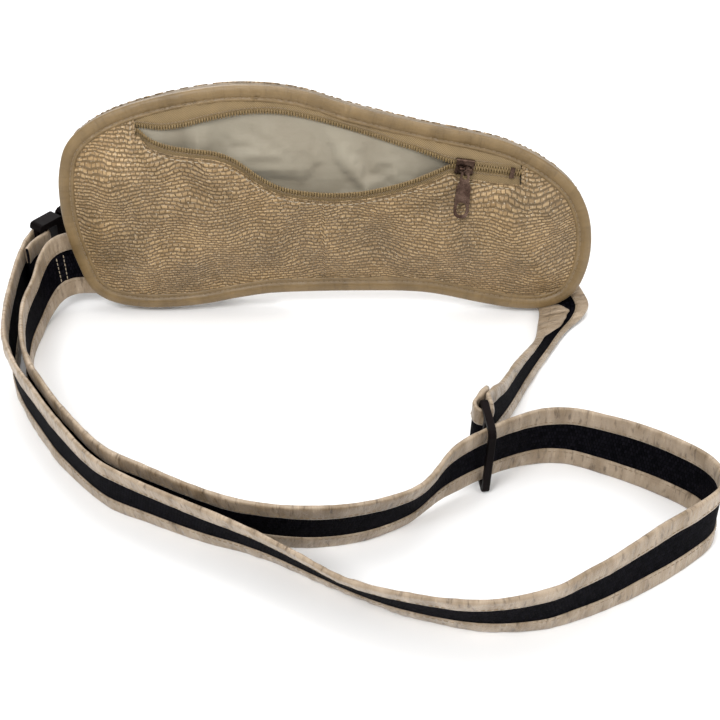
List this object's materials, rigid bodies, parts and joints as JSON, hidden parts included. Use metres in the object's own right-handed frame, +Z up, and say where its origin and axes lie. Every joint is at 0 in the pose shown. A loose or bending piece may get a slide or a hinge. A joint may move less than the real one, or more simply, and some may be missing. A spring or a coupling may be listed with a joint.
{
  "type": "money belt",
  "caption": "Slim kidney-shaped waist pouch with front and rear zip pockets on an adjustable webbing belt with satin-bound edges and a side-release buckle.",
  "frame": {"origin": "middle of the footprint on the floor", "axes": "+X towards the pouch's right as its front is seen, +Y towards the pouch's back, +Z up"},
  "size_m": [0.3625, 0.3393, 0.1334],
  "materials": {
    "shimmer_mesh": "woven with metallic glints",
    "pale_lining": "matt",
    "satin_binding": "satin sheen",
    "grey_piping": "satin sheen",
    "khaki_tape": "twill",
    "khaki_coil": "moulded nylon",
    "dark_bronze": "dark antique",
    "black_webbing": "ribbed weave",
    "black_plastic": "moulded, semi-gloss"
  },
  "bodies": {
    "belt": {"front_panel": "shimmer_mesh", "front_lining": "pale_lining", "pocket_back_lining": "pale_lining", "divider_panel": "shimmer_mesh", "rear_pocket_lining": "pale_lining", "back_panel": "shimmer_mesh", "pouch_binding": "satin_binding", "rear_piping": "grey_piping", "front_tape_upper": "khaki_tape", "front_tape_lower": "khaki_tape", "front_coil_upper": "khaki_coil", "front_coil_lower": "khaki_coil", "front_end_stop": "dark_bronze", "rear_tape_upper": "khaki_tape", "rear_tape_lower": "khaki_tape", "rear_coil_upper": "khaki_coil", "rear_coil_lower": "khaki_coil", "rear_top_stop": "dark_bronze", "rear_end_stop": "dark_bronze", "long_strap_webbing": "black_webbing", "long_strap_upper_binding": "satin_binding", "long_strap_lower_binding": "satin_binding", "right_strap_webbing": "black_webbing", "right_strap_upper_binding": "satin_binding", "right_strap_lower_binding": "satin_binding", "buckle_male_base": "black_plastic", "tab_webbing": "black_webbing", "tab_upper_binding": "satin_binding", "tab_lower_binding": "satin_binding"},
    "front_slider": {"front_slider_body": "dark_bronze", "front_slider_bail": "dark_bronze"},
    "front_link": {"front_pull_link": "dark_bronze"},
    "front_pull": {"front_pull_tab": "dark_bronze"},
    "rear_slider": {"rear_slider_body": "dark_bronze", "rear_slider_bail": "dark_bronze"},
    "rear_link": {"rear_pull_link": "dark_bronze"},
    "rear_pull": {"rear_pull_tab": "dark_bronze"},
    "glide": {"tri_glide": "black_plastic", "right_strap_end": "satin_binding"},
    "buckle_female": {"buckle_female_shell": "black_plastic", "tab_fold": "satin_binding"},
    "buckle_arm_upper": {"buckle_upper_arm": "black_plastic"},
    "buckle_arm_lower": {"buckle_lower_arm": "black_plastic"}
  },
  "joints": [
    {"name": "front_slider_slide", "type": "slide", "parent": "belt", "child": "front_slider", "axis": [0.983, 0.0652, -0.1718], "range_m": [0, 0.02]},
    {"name": "front_link_hinge", "type": "hinge", "parent": "front_slider", "child": "front_link", "pos_m": [0.06954, 0.09189, 0.09188], "axis": [0.983, 0.0652, -0.1718], "range_deg": [-110, 0]},
    {"name": "front_tab_swing", "type": "hinge", "parent": "front_link", "child": "front_pull", "pos_m": [0.06918, 0.09021, 0.08919], "axis": [0.1455, -0.8472, 0.5109], "range_deg": [-30, 30]},
    {"name": "rear_slider_slide", "type": "slide", "parent": "belt", "child": "rear_slider", "axis": [-0.9854, 0.0296, 0.1677], "range_m": [0, 0.195]},
    {"name": "rear_link_hinge", "type": "hinge", "parent": "rear_slider", "child": "rear_link", "pos_m": [0.10887, 0.11452, 0.07579], "axis": [-0.9854, 0.0296, 0.1677], "range_deg": [-110, 0]},
    {"name": "rear_tab_swing", "type": "hinge", "parent": "rear_link", "child": "rear_pull", "pos_m": [0.10833, 0.11453, 0.07263], "axis": [0.0296, 0.9996, -0.0025], "range_deg": [-30, 30]},
    {"name": "glide_slide", "type": "slide", "parent": "belt", "child": "glide", "axis": [-0.825, -0.5651, 0], "range_m": [0, 0.01]},
    {"name": "buckle_release", "type": "slide", "parent": "belt", "child": "buckle_female", "axis": [0.6225, 0.7826, 0], "range_m": [0, 0.03]},
    {"name": "upper_arm_squeeze", "type": "hinge", "parent": "belt", "child": "buckle_arm_upper", "pos_m": [-0.16214, 0.11847, 0.0353], "axis": [0.7826, -0.6225, 0], "range_deg": [0, 6], "stiffness_Nm_per_rad": 0.5},
    {"name": "lower_arm_squeeze", "type": "hinge", "parent": "belt", "child": "buckle_arm_lower", "pos_m": [-0.16214, 0.11847, 0.0133], "axis": [0.7826, -0.6225, 0], "range_deg": [-6, 0], "stiffness_Nm_per_rad": 0.5}
  ],
  "couplings": [
    {"joint": "lower_arm_squeeze", "follows": "upper_arm_squeeze", "ratio": -1}
  ]
}
